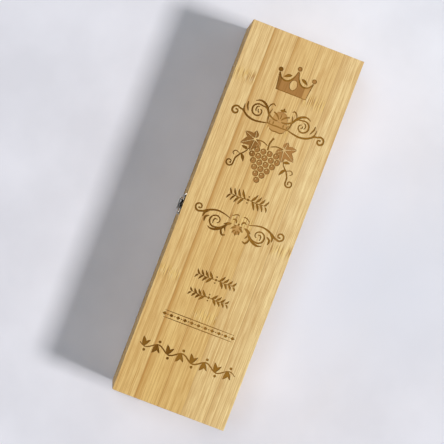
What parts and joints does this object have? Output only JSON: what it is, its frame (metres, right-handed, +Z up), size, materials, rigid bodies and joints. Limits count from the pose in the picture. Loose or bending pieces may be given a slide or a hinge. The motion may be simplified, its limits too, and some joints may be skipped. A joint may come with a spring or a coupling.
{
  "type": "wooden wine box",
  "caption": "Long bamboo box for one wine bottle, with a hinged lid, a small draw clasp on the front and two notched bottle rests inside.",
  "frame": {"origin": "centre of the flat underside", "axes": "+X along the box from the head end (bottle's neck) to the foot end, -Y to the front with the clasp, +Y to the back with the hinges, +Z up"},
  "size_m": [0.36, 0.1121, 0.103],
  "materials": {
    "bamboo_lid": "fine-sanded, clear satin lacquer",
    "bamboo_wall": "fine-sanded, clear satin lacquer",
    "bamboo_inner": "sanded, unlacquered",
    "nickel": "bright nickel plate",
    "nickel_screw": "nickel-plated steel"
  },
  "bodies": {
    "body": {"base_panel": "bamboo_inner", "front_panel": "bamboo_wall", "back_panel": "bamboo_wall", "head_panel": "bamboo_wall", "foot_panel": "bamboo_wall", "neck_rest": "bamboo_inner", "bottle_rest": "bamboo_inner", "head_hinge_body_leaf": "nickel", "foot_hinge_body_leaf": "nickel", "head_hinge_pin": "nickel", "foot_hinge_pin": "nickel", "hinge_body_screws": "nickel_screw", "clasp_base": "nickel", "clasp_lever_pin": "nickel", "clasp_base_screws": "nickel_screw"},
    "lid": {"lid_panel": "bamboo_lid", "lid_front_rail": "bamboo_lid", "lid_back_rail": "bamboo_lid", "lid_head_rail": "bamboo_lid", "lid_foot_rail": "bamboo_lid", "head_hinge_lid_leaf": "nickel", "foot_hinge_lid_leaf": "nickel", "hinge_lid_screws": "nickel_screw", "clasp_strike": "nickel", "clasp_strike_screws": "nickel_screw"},
    "clasp_lever": {"clasp_lever": "nickel"},
    "clasp_bail": {"clasp_bail": "nickel"}
  },
  "joints": [
    {"name": "lid_hinge", "type": "hinge", "parent": "body", "child": "lid", "pos_m": [0, 0.0518, 0.077], "axis": [-1, 0, 0], "range_deg": [0, 105]},
    {"name": "clasp_lever_hinge", "type": "hinge", "parent": "body", "child": "clasp_lever", "pos_m": [0, -0.05625, 0.07], "axis": [-1, 0, 0], "range_deg": [0, 150]},
    {"name": "clasp_bail_pivot", "type": "hinge", "parent": "clasp_lever", "child": "clasp_bail", "pos_m": [0, -0.056, 0.065], "axis": [-1, 0, 0], "range_deg": [-150, 0]}
  ],
  "couplings": [
    {"joint": "clasp_bail_pivot", "follows": "clasp_lever_hinge", "ratio": -1}
  ]
}
